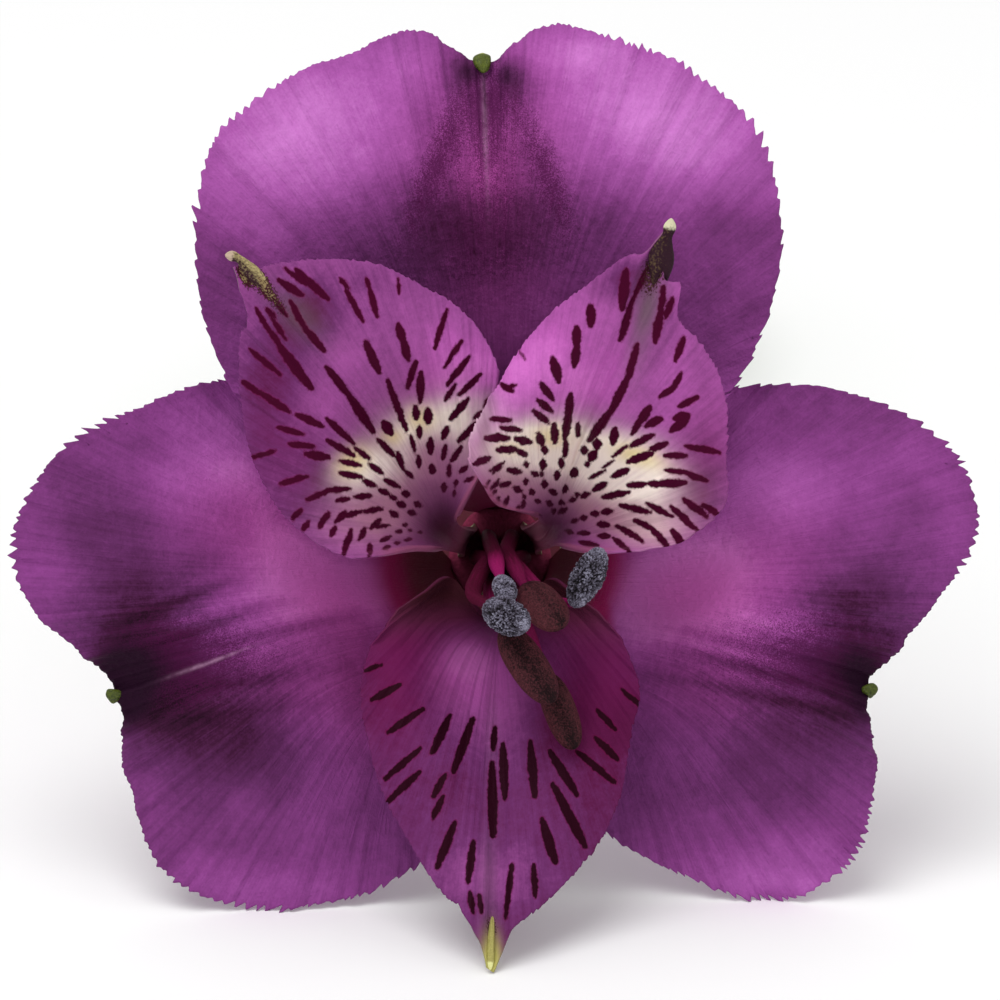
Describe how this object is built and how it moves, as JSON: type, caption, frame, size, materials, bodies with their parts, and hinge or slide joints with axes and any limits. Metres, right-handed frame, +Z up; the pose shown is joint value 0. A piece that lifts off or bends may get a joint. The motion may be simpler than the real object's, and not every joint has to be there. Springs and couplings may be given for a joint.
{
  "type": "alstroemeria stem",
  "caption": "Open purple alstroemeria bloom with toothed outer tepals and dashed inner tepals, on a short leafy cut stem that lies on its side.",
  "frame": {"origin": "on the surface that the stem lies on, under the middle of the whole part's box", "axes": "+Z up from that surface, +Y along the stem from the bloom to the cut end, +X to the right of someone who looks into the bloom"},
  "size_m": [0.0682, 0.1763, 0.0598],
  "materials": {
    "outer_tepal": "satin petal, purple, darker maroon towards the tip, toothed margin",
    "inner_tepal": "satin petal, mauve with a cream blotch and dark maroon dashes",
    "filament": "smooth pink stalk",
    "pollen": "matt blue-grey pollen",
    "anther_coat": "fine-grained dark maroon coat",
    "style": "smooth magenta stalk",
    "stem": "smooth fresh green, finely ribbed",
    "leaf": "satin green leaf with parallel veins"
  },
  "bodies": {
    "root": {"tepal_outer_top": "outer_tepal", "tepal_outer_left": "outer_tepal", "tepal_outer_right": "outer_tepal", "tepal_inner_left": "inner_tepal", "tepal_inner_right": "inner_tepal", "tepal_inner_low": "inner_tepal", "filament_1": "filament", "filament_2": "filament", "filament_3": "filament", "filament_4": "filament", "filament_5": "filament", "filament_6": "filament", "anther_1": "pollen", "anther_2": "pollen", "anther_3": "pollen", "anther_4": "anther_coat", "anther_5": "anther_coat", "anther_6": "anther_coat", "pistil": "style", "ovary": "stem", "pedicel": "stem", "stem": "stem", "leaf_whorl_left": "leaf", "leaf_whorl_right": "leaf", "leaf_whorl_upper_left": "leaf", "leaf_whorl_upper_right": "leaf", "leaf_stem_left": "leaf", "leaf_stem_right": "leaf"}
  },
  "joints": []
}
